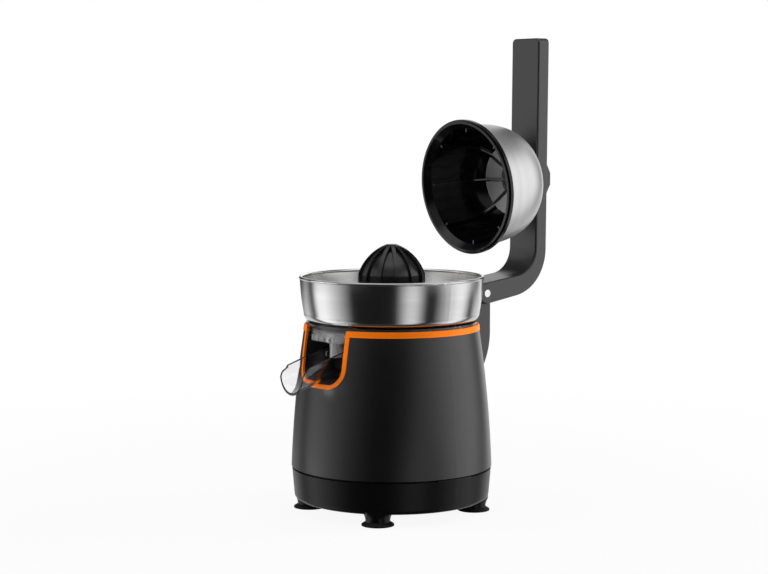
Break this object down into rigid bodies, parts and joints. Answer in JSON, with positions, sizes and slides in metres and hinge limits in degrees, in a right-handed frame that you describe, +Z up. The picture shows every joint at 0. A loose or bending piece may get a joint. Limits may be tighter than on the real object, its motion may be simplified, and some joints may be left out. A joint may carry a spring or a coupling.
{
  "type": "electric citrus juicer",
  "caption": "Electric citrus press: tapered motor base with drip spout, steel bowl and ribbed reamer under a hinged lever that carries a domed press cup.",
  "frame": {"origin": "where the body's axis meets the surface that the feet stand on", "axes": "+Z up along the body's axis, -Y to the spout, +Y to the lever hinge"},
  "size_m": [0.1674, 0.2692, 0.395],
  "materials": {
    "black_body": "fine satin moulding",
    "orange_trim": "satin coloured moulding",
    "tray_plastic": "fine satin moulding",
    "foot_rubber": "soft matt rubber",
    "seal_rubber": "soft matt rubber",
    "inner_plastic": "moulded",
    "clear_plastic": "clear polished moulding",
    "smoky_plastic": "smoky clear moulding",
    "bowl_steel": "spun and polished",
    "cup_steel": "brushed round the axis",
    "reamer_plastic": "semi gloss moulding",
    "strainer_plastic": "semi gloss moulding",
    "liner_plastic": "gloss moulding",
    "insert_plastic": "satin dark grey moulding",
    "lever_plastic": "satin charcoal moulding",
    "pin_steel": "bright",
    "fastener_steel": "zinc plated",
    "shaft_steel": "ground",
    "gear_plastic": "natural moulding",
    "bearing_bronze": "sintered",
    "bush_nylon": "moulded",
    "motor_steel": "zinc plated",
    "lamination_steel": "stacked sheet",
    "copper_coils": "enamelled wire, taken as one ring"
  },
  "bodies": {
    "base": {"body_housing": "black_body", "trim_ring": "orange_trim", "base_tray": "tray_plastic", "suction_feet": "foot_rubber", "base_screws": "fastener_steel", "cord_gland": "tray_plastic", "top_deck": "inner_plastic", "shaft_seal": "seal_rubber", "juice_collector": "clear_plastic", "outlet_nozzle": "clear_plastic", "bowl": "bowl_steel", "strainer": "strainer_plastic", "gearbox_base": "inner_plastic", "gearbox_cover": "inner_plastic", "compound_axle": "fastener_steel", "lower_bush": "bearing_bronze", "upper_bush": "bearing_bronze", "gearbox_screws": "fastener_steel", "spring_tube": "inner_plastic", "return_spring": "fastener_steel", "micro_switch": "inner_plastic", "motor_can": "motor_steel", "motor_end_cap": "inner_plastic", "motor_stator": "lamination_steel", "motor_coils": "copper_coils", "motor_bearings": "bearing_bronze", "terminal_block": "inner_plastic", "hinge_bracket": "lever_plastic", "bracket_screws": "fastener_steel", "hinge_bushes": "bush_nylon"},
    "lever": {"lever_arm": "lever_plastic", "lever_core": "fastener_steel", "lever_cover": "lever_plastic", "lever_screws": "fastener_steel", "hinge_pin": "pin_steel", "cup_shell": "cup_steel", "cup_rim": "liner_plastic", "cup_liner": "liner_plastic", "cup_insert": "insert_plastic", "cup_stud": "liner_plastic", "cup_spacer": "liner_plastic", "stud_nut": "fastener_steel"},
    "press_slider": {"thrust_cup": "inner_plastic"},
    "spindle": {"drive_shaft": "shaft_steel", "reamer": "reamer_plastic"},
    "output_gear": {"output_gear": "gear_plastic"},
    "compound_gear": {"compound_gear": "gear_plastic"},
    "rotor": {"rotor_shaft": "shaft_steel", "rotor_core": "lamination_steel", "motor_pinion": "shaft_steel", "cooling_fan": "inner_plastic"},
    "switch_plunger": {"switch_plunger": "inner_plastic"},
    "spout": {"spout": "smoky_plastic"}
  },
  "joints": [
    {"name": "lever_hinge", "type": "hinge", "parent": "base", "child": "lever", "pos_m": [0, 0.0911, 0.1768], "axis": [1, 0, 0], "range_deg": [0, 84.8]},
    {"name": "press_slide", "type": "slide", "parent": "base", "child": "press_slider", "axis": [0, 0, -1], "range_m": [0, 0.0025], "stiffness_N_per_m": 1500, "springref_m": -0.004, "deforming": ["return_spring"]},
    {"name": "reamer_spin", "type": "hinge", "parent": "press_slider", "child": "spindle", "pos_m": [0, 0, 0.1], "axis": [0, 0, 1], "continuous": true},
    {"name": "output_spin", "type": "hinge", "parent": "base", "child": "output_gear", "pos_m": [0, 0, 0.106], "axis": [0, 0, 1], "continuous": true},
    {"name": "compound_spin", "type": "hinge", "parent": "base", "child": "compound_gear", "pos_m": [0.02509, -0.02787, 0.09], "axis": [0, 0, 1], "continuous": true},
    {"name": "rotor_spin", "type": "hinge", "parent": "base", "child": "rotor", "pos_m": [0, -0.042, 0.057], "axis": [0, 0, 1], "continuous": true},
    {"name": "plunger_slide", "type": "slide", "parent": "base", "child": "switch_plunger", "axis": [0, 0, -1], "range_m": [0, 0.0025]},
    {"name": "spout_tilt", "type": "hinge", "parent": "base", "child": "spout", "pos_m": [0, -0.048, 0.1318], "axis": [-1, 0, 0], "range_deg": [0, 22]}
  ],
  "couplings": [
    {"joint": "compound_spin", "follows": "rotor_spin", "ratio": -0.2},
    {"joint": "output_spin", "follows": "rotor_spin", "ratio": 0.05},
    {"joint": "reamer_spin", "follows": "rotor_spin", "ratio": 0.05},
    {"joint": "plunger_slide", "follows": "press_slide", "ratio": 1}
  ]
}
